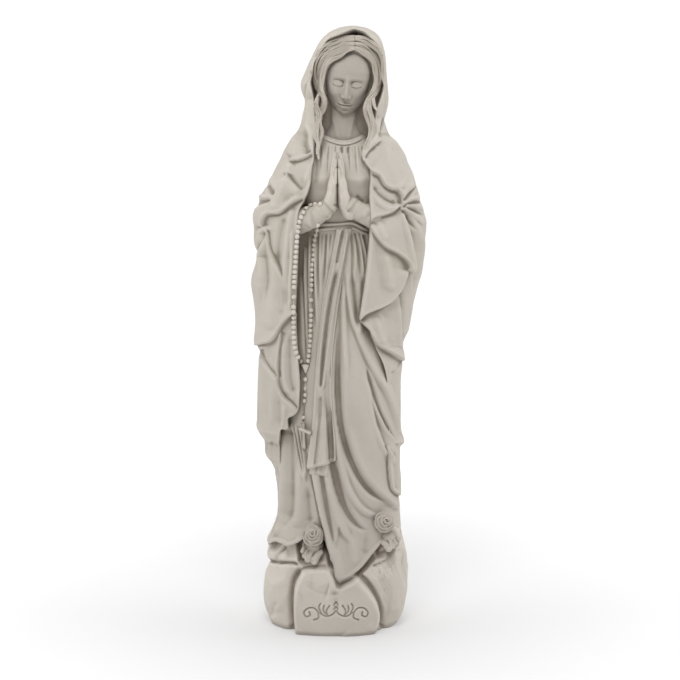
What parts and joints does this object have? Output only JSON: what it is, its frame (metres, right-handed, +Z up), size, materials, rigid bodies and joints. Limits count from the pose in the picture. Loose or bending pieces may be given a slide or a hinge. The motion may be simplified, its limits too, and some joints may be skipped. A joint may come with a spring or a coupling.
{
  "type": "praying madonna statue",
  "caption": "Standing praying Madonna in gown, belt, long mantle and veil, on a rounded rock with roses at the bare feet, with a rosary in relief.",
  "frame": {"origin": "on the floor, at the middle of the rock's flat underside", "axes": "+Z up the figure, -Y the way the face looks, +X towards the onlooker's right"},
  "size_m": [0.1717, 0.1226, 0.592],
  "materials": {
    "stone_rock": "matt cast stone, coarse, with brown-grey wash in the cracks",
    "stone_cloth": "matt cast stone, fine, with brown-grey wash in the folds",
    "stone_skin": "matt cast stone, smooth",
    "stone_hair": "matt cast stone, combed relief with dark wash",
    "stone_rose": "matt cast stone, petals with dark wash between them",
    "stone_bead": "matt cast stone, beads in relief with dark wash round them"
  },
  "bodies": {
    "root": {"rock_base": "stone_rock", "gown_skirt": "stone_cloth", "belt": "stone_cloth", "bodice": "stone_cloth", "collar_band": "stone_cloth", "sash_left": "stone_cloth", "sash_right": "stone_cloth", "mantle_back": "stone_cloth", "mantle_fall_left": "stone_cloth", "mantle_fall_right": "stone_cloth", "veil": "stone_cloth", "head": "stone_skin", "hair_left": "stone_hair", "hair_right": "stone_hair", "sleeve_left": "stone_cloth", "sleeve_right": "stone_cloth", "hand_left": "stone_skin", "hand_right": "stone_skin", "foot_left": "stone_skin", "foot_right": "stone_skin", "rose_left": "stone_rose", "rose_right": "stone_rose", "rosary_outer_strand": "stone_bead", "rosary_inner_strand": "stone_bead", "rosary_drop_beads": "stone_bead", "rosary_centrepiece": "stone_bead", "rosary_cross": "stone_bead"}
  },
  "joints": []
}
